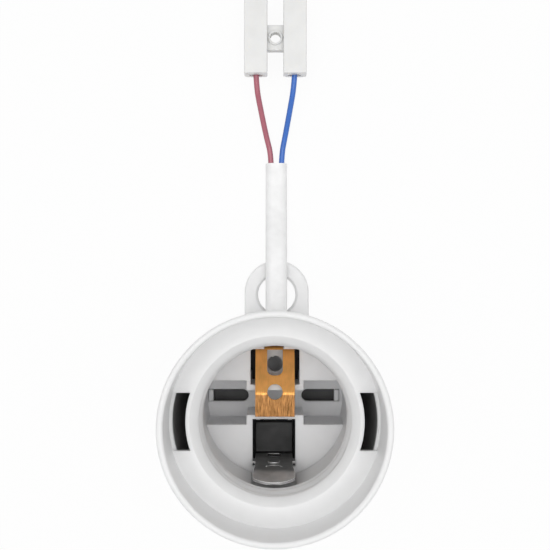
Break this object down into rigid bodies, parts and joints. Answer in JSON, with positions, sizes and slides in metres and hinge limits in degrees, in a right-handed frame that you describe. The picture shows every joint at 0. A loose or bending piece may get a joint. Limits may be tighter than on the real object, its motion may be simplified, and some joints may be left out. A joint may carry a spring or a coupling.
{
  "type": "pendant lamp holder",
  "caption": "Screw lamp holder with hanging eye, spring contacts, short flat lead and two-pole terminal block.",
  "frame": {"origin": "on the lamp's axis, at the flat back that the holder stands on", "axes": "+Z out of the mouth along the lamp's axis, +Y towards the hanging eye and the lead"},
  "size_m": [0.0374, 0.0969, 0.055],
  "materials": {
    "white_body": "moulded satin",
    "pale_grey_carrier": "moulded satin",
    "copper_alloy": "rolled strip",
    "dark_spring_steel": "dark rolled strip",
    "white_sheath": "extruded satin",
    "brown_red_core": "extruded satin",
    "blue_core": "extruded satin",
    "copper_strands": "bare wire",
    "plated_steel": "zinc plated",
    "block_plastic": "waxy moulded",
    "yellow_brass": "machined"
  },
  "bodies": {
    "holder": {"socket_body": "white_body", "contact_carrier": "pale_grey_carrier", "rear_cap": "white_body", "cord_clamp": "white_body", "cable_sheath": "white_sheath", "live_insulation": "brown_red_core", "neutral_insulation": "blue_core", "live_terminal_strands": "copper_strands", "neutral_terminal_strands": "copper_strands", "terminal_block": "block_plastic", "live_clamp_tube": "yellow_brass", "neutral_clamp_tube": "yellow_brass"},
    "centre_leaf": {"centre_contact": "copper_alloy", "live_crimp": "plated_steel", "live_contact_strands": "copper_strands"},
    "side_leaf": {"side_contact": "dark_spring_steel", "neutral_crimp": "plated_steel", "neutral_contact_strands": "copper_strands"},
    "screw_live_lead": {"live_lead_screw": "plated_steel"},
    "screw_neutral_lead": {"neutral_lead_screw": "plated_steel"},
    "screw_live_supply": {"live_supply_screw": "plated_steel"},
    "screw_neutral_supply": {"neutral_supply_screw": "plated_steel"}
  },
  "joints": [
    {"name": "centre_contact_flex", "type": "hinge", "parent": "holder", "child": "centre_leaf", "pos_m": [0, 0.01055, 0.01785], "axis": [1, 0, 0], "range_deg": [0, 5], "stiffness_Nm_per_rad": 0.1},
    {"name": "side_contact_flex", "type": "hinge", "parent": "holder", "child": "side_leaf", "pos_m": [-0.0002, -0.01007, 0.0138], "axis": [1, 0, 0], "range_deg": [0, 2.5], "stiffness_Nm_per_rad": 0.1},
    {"name": "live_lead_screw_travel", "type": "slide", "parent": "holder", "child": "screw_live_lead", "axis": [0, 0, 1], "range_m": [-0.001, 0]},
    {"name": "neutral_lead_screw_travel", "type": "slide", "parent": "holder", "child": "screw_neutral_lead", "axis": [0, 0, 1], "range_m": [-0.001, 0]},
    {"name": "live_supply_screw_travel", "type": "slide", "parent": "holder", "child": "screw_live_supply", "axis": [0, 0, 1], "range_m": [-0.0008, 0.0012]},
    {"name": "neutral_supply_screw_travel", "type": "slide", "parent": "holder", "child": "screw_neutral_supply", "axis": [0, 0, 1], "range_m": [-0.0008, 0.0012]}
  ]
}
